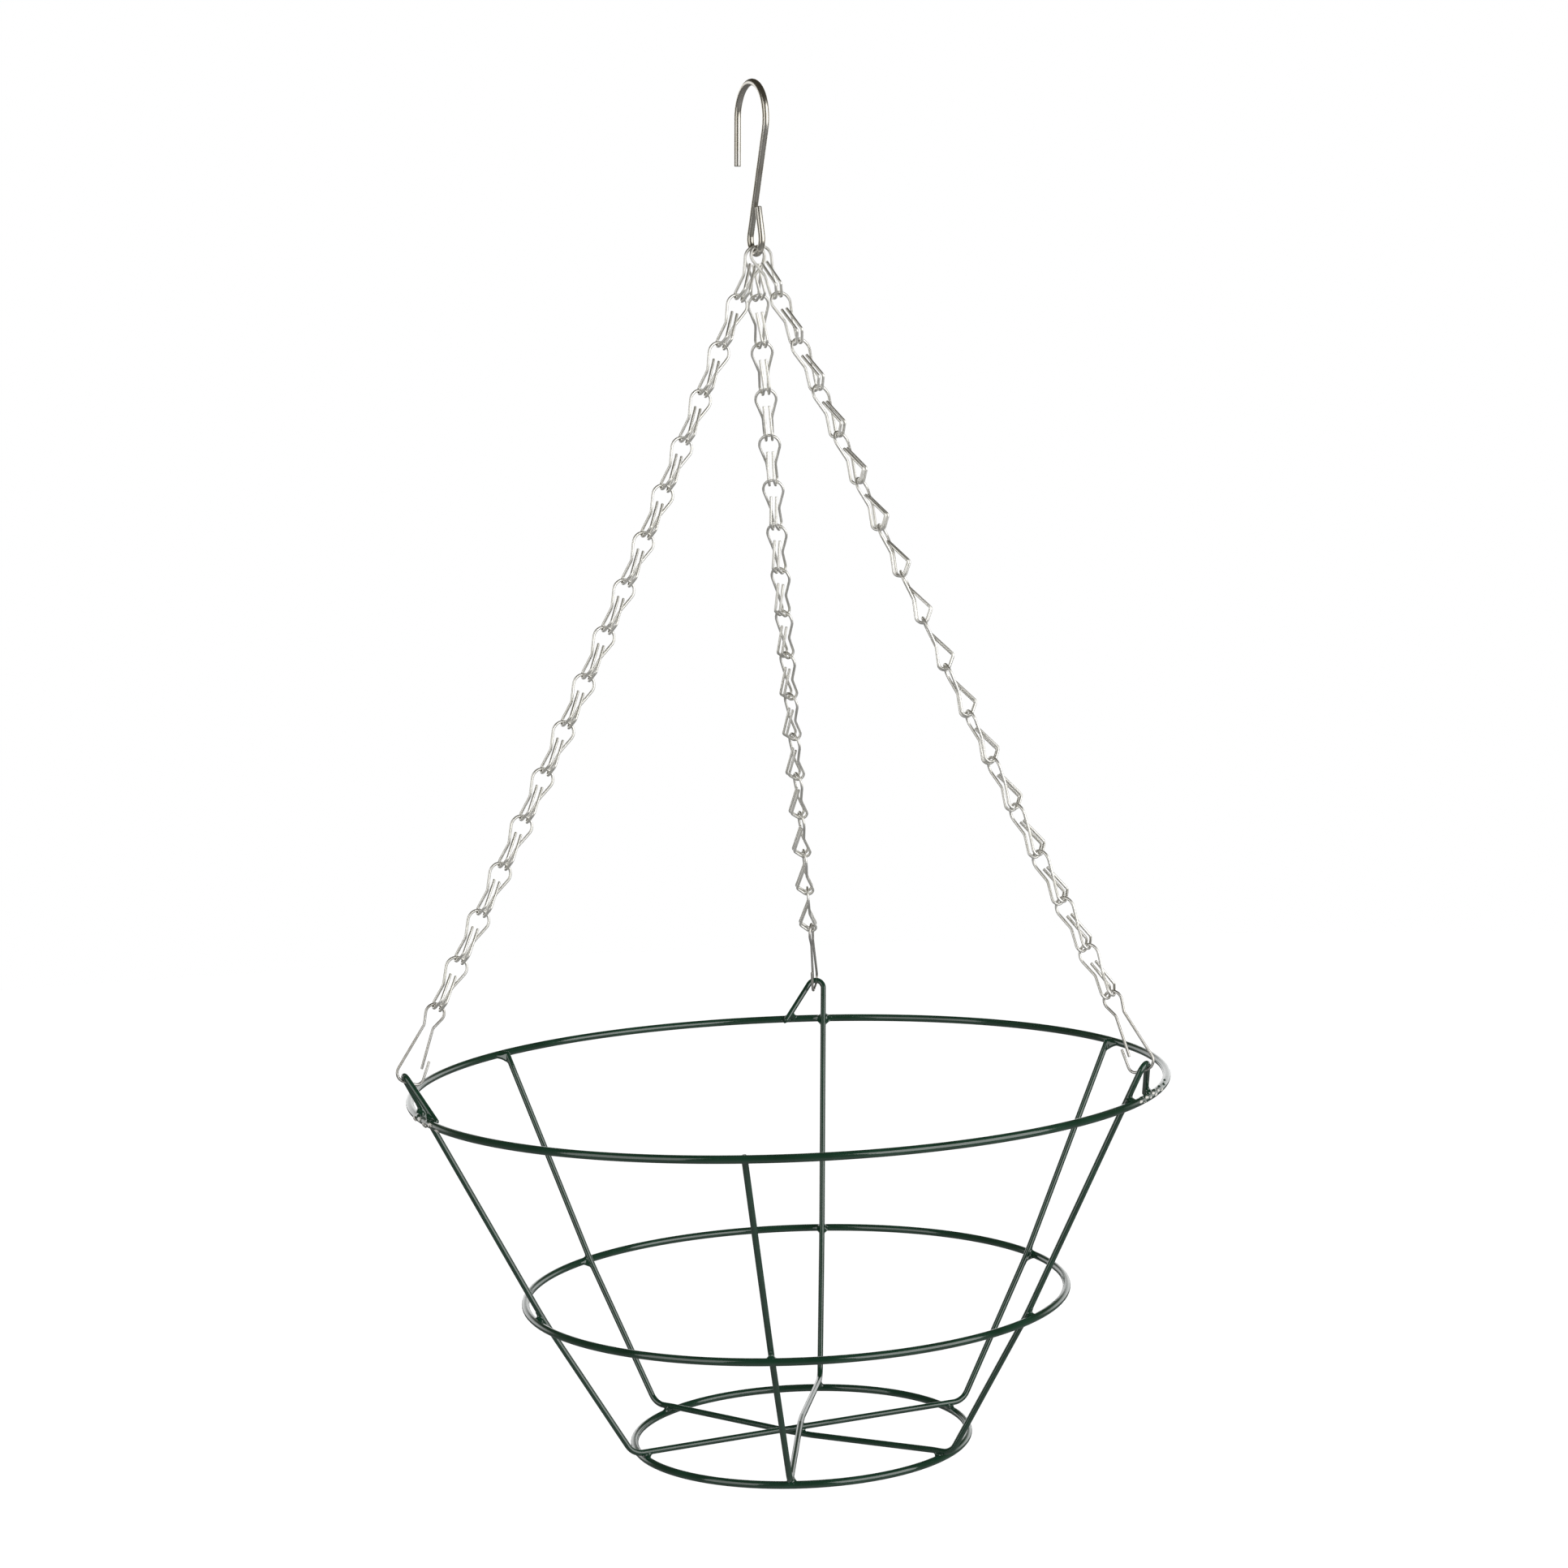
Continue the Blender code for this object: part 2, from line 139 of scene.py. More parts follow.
# Steps round each hoop
RIM_STEPS = 160
MIDDLE_STEPS = 128
BASE_STEPS = 96

# Turns and feeds too small to make, corners close enough to merge, and edges that stay sharp
STRAIGHT = math.radians(0.05)
SHORTEST_FEED = 0.01 * MM
MERGE_WITHIN = 0.001 * MM
SHARP_EDGE = math.radians(50.0)

# Ends have no bend: dipped wire ends are rounded over, cut zinc ends are nearly square
NO_BEND = 0.0
COAT_END_ROUND = 1.2 * MM
HOOK_END_ROUND = 0.45 * MM
CHAIN_END_ROUND = 0.22 * MM
END_ROUND_STEPS = 4

# Webs of coat at the welds: how far their tips reach along the wires, and how thick they are
RIM_WEB_REACH = 7.0 * MM
RIB_END_WEB_REACH = 6.0 * MM
MIDDLE_WEB_REACH = 5.8 * MM
BASE_WEB_REACH = 4.6 * MM
SPOKE_WEB_REACH = 3.4 * MM
WEB_PAST_END = 0.4 * MM
WEB_PAST_HOOP = 2.4 * MM
WEB_THICKNESS = 2.6 * MM

# Webs as shares of their reach: beside the tips, between them, the far tip and the narrow side
CROSS_WEB = (0.54, 0.45, 1.0, 1.0)
END_WEB = (0.60, 0.50, 0.3, 1.0)
FLARED_WEB = (0.76, 0.60, 0.3, 0.5)

# A web's plate, one unit in size: corners to each tip, lower face and the way to the upper one,
# narrowing along the rib, and rise of the tips along the hoop
TIP_CORNERS = 4
PLATE_BOTTOM = (0.0, 0.0, -1.0)
PLATE_RISE = (0.0, 0.0, 2.0)
WEB_WAIST = 0.6
WEB_SADDLE = 1.2

# Wire stubs that the webs grow from, and how both are melted together
STUB_SIDES = 20
STUB_SLIMNESS = 0.95
WEB_GRAIN = 0.4 * MM
WEB_SMOOTHING = 8

# Plain ribs whose webs run further to one side, along the rim or against it
ALONG_RIM = 1.0
AGAINST_RIM = -1.0
FLARE_SIDE = {"right": ALONG_RIM, "front": AGAINST_RIM}

# Burrs on the rim beside two of the loops: azimuth, turn round the wire from outward, and size
WELD_BURRS = (
    (265.0, -10.0, 1.2 * MM), (267.5, 20.0, 1.0 * MM), (270.0, -25.0, 1.2 * MM),
    (272.5, 15.0, 1.0 * MM), (275.0, -30.0, 0.9 * MM), (37.5, 15.0, 0.7 * MM),
    (39.0, -15.0, 0.6 * MM), (40.0, 35.0, 0.7 * MM), (41.5, 5.0, 0.6 * MM),
    (43.0, 40.0, 0.7 * MM), (44.0, 0.0, 0.7 * MM), (45.5, 30.0, 0.6 * MM),
    (47.5, 5.0, 0.7 * MM))
COAT_BURRS = (
    (266.0, 55.0, 1.1 * MM), (271.0, 60.0, 1.0 * MM), (38.5, 65.0, 0.8 * MM),
    (41.5, 70.0, 0.8 * MM), (44.5, 75.0, 0.8 * MM), (47.5, 70.0, 0.8 * MM),
    (50.0, 45.0, 0.8 * MM), (52.5, 75.0, 0.7 * MM))
BURR_STRETCH = 2.4
BURR_RISE = 0.6

# One burr, one unit in size: how finely it is divided, how its corners stray and are smoothed
BURR_DIVISIONS = 3
BURR_STRAY = 0.12
BURR_EVENNESS = 0.3
BURR_SEED = 3
BURR_SMOOTHING = 0.5

# Finishes: scale and detail of their clouds, places of the two tones, the tones, and roughness
COAT_CLOUDS = (60.0, 4.0)
COAT_STOPS = (0.3, 0.7)
COAT_TONES = (0.005, 0.030, 0.015, 1.0), (0.010, 0.048, 0.026, 1.0)
COAT_ROUGHNESS = (0.06, 0.16)
COAT_SPECULAR = 1.0
# The weld's near black and pale cream speckle is partly the colour of bare weld and partly painted
# glints and shade of the rough coat at the loop feet
WELD_CLOUDS = (500.0, 3.0)
WELD_STOPS = (0.38, 0.48)
WELD_AND_GLINT_TONES = (0.08, 0.10, 0.08, 1.0), (0.86, 0.84, 0.78, 1.0)
WELD_ROUGHNESS = (0.2, 0.45)
ZINC_CLOUDS = (90.0, 5.0)
ZINC_STOPS = (0.35, 0.6)

# Zinc plate: its dull and bright tones and the range of its roughness. All three are one zinc
# plate: the chain's copy is painted much paler, as painted glare of the white backdrop on its thin
# wire, while the hook's and the clips' copies are darker
HOOK_ZINC = (0.52, 0.49, 0.42, 1.0), (0.62, 0.60, 0.55, 1.0), (0.20, 0.32)
CHAIN_ZINC_PAINTED_GLARE = (0.86, 0.85, 0.79, 1.0), (0.95, 0.94, 0.90, 1.0), (0.36, 0.50)
CLIP_ZINC = (0.60, 0.58, 0.53, 1.0), (0.70, 0.69, 0.66, 1.0), (0.32, 0.44)

# Relief: scale and detail of its noise, its strength and its depth
COAT_SKIN = (420.0, 3.0, 0.3, 0.06 * MM)
ZINC_GRAIN = (1500.0, 2.0, 0.05, 0.01 * MM)

# Camera at the photograph's viewing angle
CAMERA_PLACE = (1.3825, -0.6019, -0.1749)
CAMERA_TURN = (84.652, 2.149, 66.147)
CAMERA_LENS = 75.74
CAMERA_SENSOR = 36.0

# Floor, far below the basket: its camera glow rises outwards so that it stays white
FLOOR_HEIGHT = -2.40
FLOOR_RADIUS = 14.0
FLOOR_SIDES = 96
FLOOR_PALE = (0.35, 0.35, 0.35, 1.0)
FLOOR_GLOW = (0.85, 0.96)
FLOOR_GLOW_REACH = (0.5, 3.0)
FLOOR_GLOSSY_SHARE = 0.05

# Studio: a white sheet behind the basket, a dim room round it and even fill light
AMBIENT = (0.30, 0.30, 0.30, 1.0)
WHITE = (1.0, 1.0, 1.0, 1.0)
SHEET = (1.5, 1.5, 1.5, 1.0)
BEHIND_AZIMUTH = 156.5
SHEET_SPREAD = (66.0, 46.0)
SHEET_TOP = (0.38, 0.18)
ROOM_BELOW = (0.26, 0.25, 0.22, 1.0)
ROOM_LEVEL = (0.11, 0.10, 0.08, 1.0)
ROOM_ABOVE = (0.05, 0.045, 0.032, 1.0)
ROOM_BLEND = 0.7

# Softboxes: azimuth and elevation in degrees, then width, height and radiance
SOFTBOX_DISTANCE = 3.0
SOFTBOX_AIM = (0.0, 0.0, -0.45)
RIGHT_SOFTBOX = (27.0, 13.0, 3.30, 3.06, 2.5)
LEFT_SOFTBOX = (-72.0, 13.0, 2.10, 3.06, 1.4)

# Plain range of a value, and where a mix node keeps its colour sockets
UNIT = (0.0, 1.0)
MIX_COLOUR_INPUTS = (6, 7)
MIX_COLOUR_OUTPUT = 2


def polar(radius, azimuth, height):
    """A point from its distance to the axis, its azimuth in degrees and its height."""
    turn = math.radians(azimuth)
    return Vector((radius * math.cos(turn), radius * math.sin(turn), height))


def azimuth_of(point):
    """The azimuth of a point, in degrees."""
    return math.degrees(math.atan2(point.y, point.x))


def along_hoop(azimuth):
    """Direction along a level hoop at an azimuth in degrees."""
    return polar(1.0, azimuth + 90.0, 0.0)


def touch_angle(point, centre, radius, side):
    """Angle on a circle, in degrees, where a line from an outside point touches it."""
    across = point[0] - centre[0]
    up = point[1] - centre[1]
    towards = math.degrees(math.atan2(up, across))
    return towards + side * math.degrees(math.acos(radius / math.hypot(across, up)))


def round_turn(centre, radius, start, stop, count):
    """Corners that become one round turn about a centre when each is bent to its radius."""
    step = math.radians(stop - start) / count
    reach = radius / math.cos(step / 2)
    angles = [math.radians(start) + step * (corner + 0.5) for corner in range(count)]
    return [(centre[0] + reach * math.cos(a), centre[1] + reach * math.sin(a)) for a in angles]


def deselect_all():
    """Leaves object mode with nothing selected."""
    if bpy.context.object and bpy.context.object.mode != "OBJECT":
        bpy.ops.object.mode_set(mode="OBJECT")
    bpy.ops.object.select_all(action="DESELECT")


def named(name):
    """Names the new primitive and brings its place into its mesh."""
    piece = bpy.context.object
    piece.name = name
    piece.data.name = name
    bpy.ops.object.transform_apply(location=True, rotation=True, scale=True)
    return piece


def joined(parts, name):
    """Joins modelled parts into one piece."""
    deselect_all()
    for part in parts:
        part.select_set(True)
    bpy.context.view_layer.objects.active = parts[0]
    bpy.ops.object.join()
    return named(name)


def copy_of(model, name, matrix):
    """A copy of a modelled piece with its own mesh, put in its place."""
    piece = model.copy()
    piece.data = model.data.copy()
    piece.name = name
    piece.data.name = name
    piece.data.transform(matrix)
    bpy.context.scene.collection.objects.link(piece)
    return piece


def dress(piece, material, body, slot, *nodes):
    """Gives a piece its finish, its body and the solids it stands for."""
    piece.data.materials.clear()
    piece.data.materials.append(material)
    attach(piece, body)
    if nodes:
        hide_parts(*nodes)


def feed(way):
    """Pushes the wire's selected end straight on, in even steps."""
    if way.length < SHORTEST_FEED:
        return
    steps = math.ceil(way.length / LONGEST_FEED)
    for _ in range(steps):
        bpy.ops.mesh.extrude_region_move(TRANSFORM_OT_translate={"value": way / steps})


def bent_wire(name, route, thickness, sides, end_round):
    """A wire fed from bend to bend: straight runs are extruded and bends are spun."""
    deselect_all()
    start = route[0][0]
    heading = route[1][0] - start
    bpy.ops.mesh.primitive_circle_add(
        vertices=sides, radius=thickness / 2, fill_type="NGON", location=start,
        rotation=heading.to_track_quat("Z", "Y").to_euler())
    wire = named(name)
    bpy.ops.object.mode_set(mode="EDIT")
    bpy.ops.mesh.select_mode(type="FACE")
    bpy.ops.mesh.select_all(action="SELECT")
    here = start
    for (before, _), (corner, radius), (after, _) in zip(route, route[1:], route[2:]):
        back = (before - corner).normalized()
        ahead = (after - corner).normalized()
        half = back.angle(ahead) / 2
        turn = math.pi - 2 * half
        if turn < STRAIGHT:
            continue
        tangent = radius / math.tan(half)
        feed(corner + back * tangent - here)
        centre = corner + (back + ahead).normalized() * (radius / math.sin(half))
        bpy.ops.mesh.spin(
            steps=max(LEAST_BEND_STEPS, math.ceil(turn / BEND_STEP)), angle=turn,
            center=centre, axis=back.cross(ahead))
        here = corner + ahead * tangent
    feed(route[-1][0] - here)

    # The two cut ends are the only faces with more than four corners
    bpy.ops.mesh.select_face_by_sides(number=4, type="GREATER", extend=False)
    bpy.ops.mesh.bevel(offset=end_round, segments=END_ROUND_STEPS, affect="EDGES")
    close_up(wire)
    return wire


def close_up(piece):
    """Merges what meets, turns the faces outwards and shades the piece smooth."""
    bpy.ops.mesh.select_all(action="SELECT")
    bpy.ops.mesh.remove_doubles(threshold=MERGE_WITHIN)
    bpy.ops.mesh.normals_make_consistent(inside=False)
    bpy.ops.object.mode_set(mode="OBJECT")
    bpy.ops.object.shade_smooth_by_angle(angle=SHARP_EDGE)


def hoop(name, radius, height, thickness, steps):
    """A closed hoop: a round section spun once round the axis."""
    deselect_all()
    bpy.ops.mesh.primitive_circle_add(
        vertices=COAT_SIDES, radius=thickness / 2, location=(radius, 0.0, height),
        rotation=(math.radians(90.0), 0.0, 0.0))
    ring = named(name)
    bpy.ops.object.mode_set(mode="EDIT")
    bpy.ops.mesh.select_all(action="SELECT")
    bpy.ops.mesh.spin(
        steps=steps, angle=2 * math.pi, center=(0.0, 0.0, height), axis=(0.0, 0.0, 1.0))
    close_up(ring)
    return ring


def hook_route():
    """Free leg, arch, slanted stem, lower eye and its return leg, in the XZ plane."""
    eye_centre = (0.0, HOOK_EYE_RADIUS - HOOK_REACH - HOOK_WIRE / 2)
    arch_centre = (0.0, HOOK_WIRE / 2 - HOOK_ARCH_RADIUS)
    spread = arch_centre[1] - eye_centre[1]
    slant = math.degrees(math.asin((HOOK_ARCH_RADIUS + HOOK_EYE_RADIUS) / spread))
    reach = math.hypot(HOOK_EYE_RADIUS, HOOK_RETURN)
    inside = HOOK_EYE_RADIUS - HOOK_WIRE - HOOK_MOUTH
    tilt = math.atan2(HOOK_EYE_RADIUS, HOOK_RETURN) + math.asin(inside / reach)
    lean = math.degrees(tilt) - slant

    turn = math.radians(lean)
    eye_end = (
        eye_centre[0] + HOOK_EYE_RADIUS * math.cos(turn),
        eye_centre[1] + HOOK_EYE_RADIUS * math.sin(turn))
    flare = math.radians(HOOK_FLARE)
    free_end = (
        -HOOK_ARCH_RADIUS * math.cos(flare) - HOOK_FREE_LEG * math.sin(flare),
        arch_centre[1] + HOOK_ARCH_RADIUS * math.sin(flare) - HOOK_FREE_LEG * math.cos(flare))
    return_end = (
        eye_end[0] - HOOK_RETURN * math.sin(turn),
        eye_end[1] + HOOK_RETURN * math.cos(turn))
    arch = round_turn(
        arch_centre, HOOK_ARCH_RADIUS, 180.0 - HOOK_FLARE, -slant, WIDE_TURN_CORNERS)
    eye = round_turn(
        eye_centre, HOOK_EYE_RADIUS, 180.0 - slant, 360.0 + lean, WIDE_TURN_CORNERS)
    corners = [(free_end, NO_BEND)] + [(c, HOOK_ARCH_RADIUS) for c in arch]
    corners += [(c, HOOK_EYE_RADIUS) for c in eye] + [(return_end, NO_BEND)]
    return [(Vector((x, 0.0, z)), radius) for (x, z), radius in corners]


def eye_corners(radius, neck_width, neck_depth):
    """Corners of an eye, from one side of its neck over the top to the other."""
    centre = (0.0, -radius)
    leave = touch_angle((neck_width / 2, -neck_depth), centre, radius, 1)
    return round_turn(centre, radius, 180.0 - leave, leave, WIDE_TURN_CORNERS)


def link_route():
    """One link: X across, Y to the side its hooks bulge, Z up, from the eye's top."""
    neck = LINK_NECK_WIDTH / 2
    drop = LINK_EYE_RADIUS - math.sqrt(LINK_EYE_RADIUS ** 2 - neck ** 2)
    hook_depth = LINK_PITCH + drop + CHAIN_WIRE + TOUCH_GAP
    hook_centre = (0.0, LINK_HOOK_RADIUS - hook_depth)
    toe = (LINK_TOE_OUT, -LINK_TOE_DEPTH)
    enter = touch_angle((0.0, -LINK_NECK_DEPTH), hook_centre, LINK_HOOK_RADIUS, 1)
    depart = 360.0 + touch_angle(toe, hook_centre, LINK_HOOK_RADIUS, -1)
    curl = round_turn(hook_centre, LINK_HOOK_RADIUS, enter, depart, WIDE_TURN_CORNERS)

    # Across, the leg closes in from the neck's width to that of the return legs
    leg = [(Vector((neck, 0.0, -LINK_NECK_DEPTH)), LINK_NECK_BEND)]
    closing = (LINK_NECK_WIDTH - LINK_RETURN_WIDTH) / 2
    for share, (y, z) in zip(LINK_CLOSING, curl):
        leg.append((Vector((neck - closing * share, y, z)), LINK_CURL_BEND * LINK_HOOK_RADIUS))
    leg.append((Vector((LINK_RETURN_WIDTH / 2, *toe)), LINK_TOE_BEND))
    leg.append((Vector((LINK_RETURN_WIDTH / 2, LINK_END_OUT, -LINK_END_DEPTH)), NO_BEND))

    eye = eye_corners(LINK_EYE_RADIUS, LINK_NECK_WIDTH, LINK_NECK_DEPTH)
    other_leg = [(Vector((-p.x, p.y, p.z)), radius) for p, radius in reversed(leg)]
    return other_leg + [(Vector((x, 0.0, z)), LINK_EYE_RADIUS) for x, z in eye] + leg


def clip_route():
    """One clip: X outward, Z up, from the eye's top; it lies flat in the XZ plane."""
    neck = (CLIP_NECK_WIDTH / 2, -CLIP_NECK_DEPTH)
    floor = -CLIP_REACH - FRAME_WIRE / 2 - CHAIN_WIRE / 2 - TOUCH_GAP
    bight_centre = (0.0, floor + CLIP_BIGHT_RADIUS)
    heel = (-CLIP_HEEL_IN, floor + CLIP_HEEL_RISE)
    enter = touch_angle(neck, bight_centre, CLIP_BIGHT_RADIUS, -1)
    depart = touch_angle(heel, bight_centre, CLIP_BIGHT_RADIUS, 1)
    depart = enter - (enter - depart) % 360.0

    short_end = (-CLIP_SHORT_LEG_IN, -CLIP_SHORT_LEG_DEPTH)
    corners = [(short_end, NO_BEND), ((-neck[0], neck[1]), CLIP_NECK_BEND)]
    for x, z in eye_corners(CLIP_EYE_RADIUS, CLIP_NECK_WIDTH, CLIP_NECK_DEPTH):
        corners.append(((x, z + CLIP_EYE_LIFT), CLIP_EYE_RADIUS))
    corners.append((neck, CLIP_NECK_BEND))
    bight = round_turn(bight_centre, CLIP_BIGHT_RADIUS, enter, depart, SHORT_TURN_CORNERS)
    corners += [(corner, CLIP_BIGHT_RADIUS) for corner in bight]
    corners += [(heel, CLIP_HEEL_BEND), ((-CLIP_RETURN_IN, -CLIP_RETURN_DEPTH), NO_BEND)]
    return [(Vector((x, 0.0, z)), radius) for (x, z), radius in corners]


class Bowl:
    """Where the hoops are, read from the frame, and the ribs and spokes that follow them."""

    def __init__(self):
        self.rim_radius, self.rim_height = self.hoop_size("rim_ring", RIM_WIRE)
        self.middle_radius, self.middle_height = self.hoop_size("middle_ring", RING_WIRE)
        self.base_radius, self.base_height = self.hoop_size("base_ring", RING_WIRE)
        self.spoke_height = self.base_height + RING_WIRE / 2 + FRAME_WIRE / 2 + TOUCH_GAP
        self.at_spokes = self.base_radius + RIB_OVERHANG
        upper_lean = math.atan2(
            self.rim_radius - self.middle_radius, self.rim_height - self.middle_height)
        lower_lean = math.atan2(
            self.middle_radius - self.at_spokes, self.middle_height - self.spoke_height)
        beside_rim = RIM_WIRE / 2 + FRAME_WIRE / 2 + TOUCH_GAP
        beside_ring = RING_WIRE / 2 + FRAME_WIRE / 2 + TOUCH_GAP
        self.at_rim = self.rim_radius - beside_rim / math.cos(upper_lean)
        self.at_middle = self.middle_radius - beside_ring / math.cos(max(upper_lean, lower_lean))

    @staticmethod
    def hoop_size(node, thickness):
        """Radius and height of a hoop's middle line."""
        low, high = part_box(node)
        return (high.x - low.x - thickness) / 2, (high.z + low.z) / 2

    def rib(self, rim_azimuth, base_azimuth):
        """Where a rib passes the rim, passes the middle hoop and would meet its spoke."""
        crossing = polar(self.at_rim, rim_azimuth, self.rim_height)
        corner = polar(self.at_spokes, base_azimuth, self.spoke_height)
        fall = (self.rim_height - self.middle_height) / (self.rim_height - self.spoke_height)
        passing = crossing.lerp(corner, fall)
        knee = polar(self.at_middle, azimuth_of(passing), passing.z)
        return crossing, knee, corner

    def loop_axes(self, side):
        """The rib's place at the rim, and directions along the rim and up along the rib."""
        azimuth = RIM_AZIMUTH[side]
        crossing, knee, _ = self.rib(azimuth, BASE_AZIMUTH[side])
        foot_turn = math.degrees(2 * math.asin(LOOP_FOOT[side] / (2 * self.at_rim)))
        foot = polar(self.at_rim, azimuth + foot_turn, self.rim_height)
        return crossing, (foot - crossing).normalized(), (crossing - knee).normalized()

    def loop_corners(self, side):
        """The rim loop's foot and the corners of its bend."""
        crossing, along, up = self.loop_axes(side)
        centre = (LOOP_RADIUS, LOOP_HEIGHT[side] - LOOP_RADIUS)
        foot = Vector((LOOP_FOOT[side], 0.0))
        touch = touch_angle(foot, centre, LOOP_RADIUS, 1)
        turn = round_turn(centre, LOOP_RADIUS, touch, 180.0, SHORT_TURN_CORNERS)
        bend = [Vector(corner) for corner in turn]
        end = foot + (foot - bend[0]).normalized() * LOOP_END_PAST
        return [crossing + along * p.x + up * p.y for p in [end] + bend]

    def spoke_summit(self, side, azimuth):
        """Where a spoke runs level on its way over or under the others."""
        step = FRAME_WIRE + TOUCH_GAP
        return polar(SPOKE_FLAT, azimuth, self.spoke_height + SPOKE_LEVEL[side] * step)

    def frame_route(self, side):
        """Rim loop, rib, spoke across the base and plain rib of one frame wire."""
        azimuth = BASE_AZIMUTH[side]
        far = PLAIN_BASE_AZIMUTH[side]
        _, knee, corner = self.rib(RIM_AZIMUTH[side], azimuth)
        far_crossing, far_knee, far_corner = self.rib(PLAIN_RIM_AZIMUTH[side], far)
        spoke_end = self.base_radius - RING_WIRE
        rise = (far_crossing - far_knee).normalized()
        end, *bend = self.loop_corners(side)
        route = [(end, NO_BEND)] + [(point, LOOP_RADIUS) for point in bend]
        route += [(knee, RIB_KNEE_BEND), (corner, RIB_BEND)]
        route += [(polar(spoke_end, azimuth, self.spoke_height), SPOKE_BEND)]
        route += [(self.spoke_summit(side, azimuth), SPOKE_BEND)]
        route += [(self.spoke_summit(side, far), SPOKE_BEND)]
        route += [(polar(spoke_end, far, self.spoke_height), SPOKE_BEND)]
        route += [(far_corner, RIB_BEND), (far_knee, RIB_KNEE_BEND)]
        return route + [(far_crossing + rise * (PLAIN_RIB_RISE / rise.z), NO_BEND)]

    def ribs(self, side):
        """Azimuths at the rim and at the base of a frame wire's looped and plain ribs."""
        looped = RIM_AZIMUTH[side], BASE_AZIMUTH[side]
        return looped, (PLAIN_RIM_AZIMUTH[side], PLAIN_BASE_AZIMUTH[side])

    def rim_weld(self, place, direction, reach, wide, ahead):
        """One weld between the rim and a wire that passes inside it."""
        azimuth = azimuth_of(place)
        rim = (polar(self.rim_radius, azimuth, self.rim_height), along_hoop(azimuth), RIM_WIRE)
        return rim, (place, direction.normalized(), FRAME_WIRE), reach, wide, ahead

    def rim_crossings(self):
        """Where the looped ribs pass the rim."""
        welds = []
        for side in SIDES:
            crossing, knee, _ = self.rib(RIM_AZIMUTH[side], BASE_AZIMUTH[side])
            rise = crossing - knee
            welds.append(self.rim_weld(crossing, rise, RIM_WEB_REACH, ALONG_RIM, RIM_WEB_REACH))
        return welds

    def plain_end(self, side, wide):
        """Where a plain rib ends at the rim."""
        crossing, knee, _ = self.rib(PLAIN_RIM_AZIMUTH[side], PLAIN_BASE_AZIMUTH[side])
        return self.rim_weld(crossing, crossing - knee, RIB_END_WEB_REACH, wide, WEB_PAST_END)

    def flared_ends(self):
        """Where loop feet and two of the plain ribs end at the rim, in webs with one wide side."""
        welds = [self.plain_end(side, wide) for side, wide in FLARE_SIDE.items()]
        for side in SIDES:
            end, bend, _ = self.loop_corners(side)
            fall = (end - bend).normalized()
            place = end - fall * LOOP_END_PAST
            welds.append(self.rim_weld(place, fall, RIM_WEB_REACH, AGAINST_RIM, WEB_PAST_END))
        return welds

    def even_ends(self):
        """Where the other plain rib ends at the rim."""
        return [self.plain_end(side, ALONG_RIM) for side in SIDES if side not in FLARE_SIDE]

    def middle_crossings(self):
        """Where the ribs pass the middle hoop."""
        welds = []
        for side in SIDES:
            for rim_azimuth, base_azimuth in self.ribs(side):
                crossing, knee, corner = self.rib(rim_azimuth, base_azimuth)
                rise = (crossing - knee).normalized() + (knee - corner).normalized()
                azimuth = azimuth_of(knee)
                ring = polar(self.middle_radius, azimuth, self.middle_height)
                wires = (
                    (ring, along_hoop(azimuth), RING_WIRE), (knee, rise.normalized(), FRAME_WIRE))
                welds.append((*wires, MIDDLE_WEB_REACH, ALONG_RIM, MIDDLE_WEB_REACH))
        return welds

    def base_bends(self):
        """Where the spokes pass over the base hoop and soon bend up into the ribs."""
        welds = []
        for side in SIDES:
            for azimuth in (BASE_AZIMUTH[side], PLAIN_BASE_AZIMUTH[side]):
                ring = polar(self.base_radius, azimuth, self.base_height)
                spoke = polar(self.base_radius, azimuth, self.spoke_height)
                wires = (
                    (ring, along_hoop(azimuth), RING_WIRE),
                    (spoke, polar(1.0, azimuth, 0.0), FRAME_WIRE))
                welds.append((*wires, BASE_WEB_REACH, ALONG_RIM, WEB_PAST_HOOP))
        return welds

    def spoke_crossings(self):
        """Where the three spokes cross, each over the next."""
        wires = []
        for side in sorted(SIDES, key=SPOKE_LEVEL.get):
            azimuth = BASE_AZIMUTH[side]
            middle = Vector((0.0, 0.0, self.spoke_summit(side, azimuth).z))
            wires.append((middle, polar(1.0, azimuth, 0.0), FRAME_WIRE))
        sizes = SPOKE_WEB_REACH, ALONG_RIM, SPOKE_WEB_REACH
        return [(low, high, *sizes) for low, high in zip(wires, wires[1:])]


def pick_corners(star, wanted):
    """Selects, in edit mode, only those corners of a star that are wanted."""
    bpy.ops.object.mode_set(mode="EDIT")
    bpy.ops.mesh.select_mode(type="VERT")
    bpy.ops.mesh.select_all(action="DESELECT")
    bpy.ops.object.mode_set(mode="OBJECT")
    for vertex in star.data.vertices:
        vertex.select = wanted(vertex)
    bpy.ops.object.mode_set(mode="EDIT")


def draw_in(star, pulls):
    """Draws corners of a star towards its middle, one choice of corners after another."""
    for wanted, scale in pulls:
        pick_corners(star, wanted)
        bpy.ops.transform.resize(value=scale, center_override=PLATE_BOTTOM)


